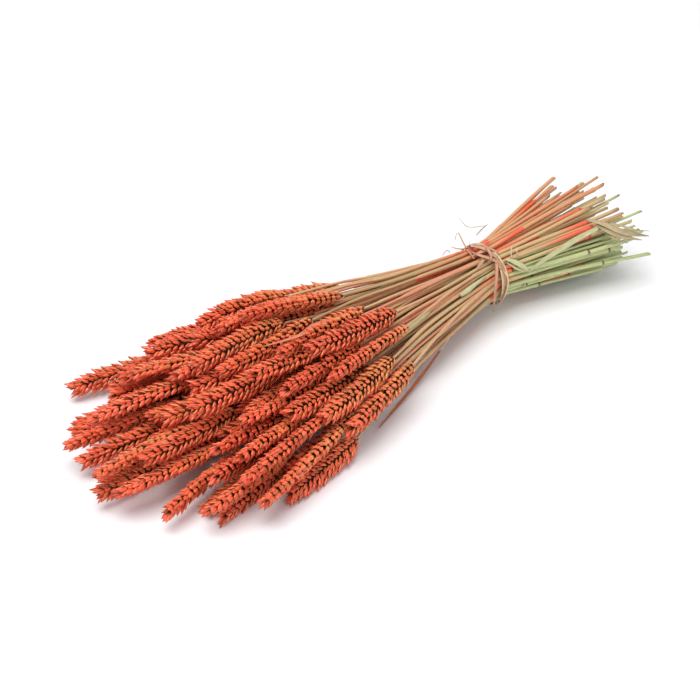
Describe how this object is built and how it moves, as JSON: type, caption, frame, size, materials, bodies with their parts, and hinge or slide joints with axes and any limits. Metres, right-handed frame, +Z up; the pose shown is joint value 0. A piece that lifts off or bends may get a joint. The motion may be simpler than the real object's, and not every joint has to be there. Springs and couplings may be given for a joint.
{
  "type": "dried wheat bunch",
  "caption": "Tied bunch of dried, red-dyed wheat that lies on a table, its ears fanned out to one side and the cut stems to the other of a raffia tie.",
  "frame": {"origin": "the table's surface under the middle of the bunch's bounding box", "axes": "+X from the ears to the cut ends, along the bunch; +Z up"},
  "size_m": [0.5444, 0.2218, 0.0865],
  "materials": {
    "ear": "dry, dyed husks with a slight sheen",
    "straw": "smooth dry straw, slightly glossy",
    "raffia": "matt dry leaf fibre"
  },
  "bodies": {
    "root": {"ear_01": "ear", "ear_02": "ear", "ear_03": "ear", "ear_04": "ear", "ear_05": "ear", "ear_06": "ear", "ear_07": "ear", "ear_08": "ear", "ear_09": "ear", "ear_10": "ear", "ear_11": "ear", "ear_12": "ear", "ear_13": "ear", "ear_14": "ear", "ear_15": "ear", "ear_16": "ear", "ear_17": "ear", "ear_18": "ear", "ear_19": "ear", "ear_20": "ear", "ear_21": "ear", "ear_22": "ear", "ear_23": "ear", "ear_24": "ear", "ear_25": "ear", "ear_26": "ear", "ear_27": "ear", "ear_28": "ear", "ear_29": "ear", "ear_30": "ear", "ear_31": "ear", "ear_32": "ear", "ear_33": "ear", "ear_34": "ear", "ear_35": "ear", "ear_36": "ear", "ear_37": "ear", "ear_38": "ear", "ear_39": "ear", "ear_40": "ear", "ear_41": "ear", "ear_42": "ear", "ear_43": "ear", "ear_44": "ear", "ear_45": "ear", "ear_46": "ear", "ear_47": "ear", "ear_48": "ear", "ear_49": "ear", "ear_50": "ear", "ear_51": "ear", "ear_52": "ear", "ear_53": "ear", "ear_54": "ear", "ear_55": "ear", "ear_56": "ear", "ear_57": "ear", "raffia_tie": "raffia", "stems": "straw"}
  },
  "joints": []
}
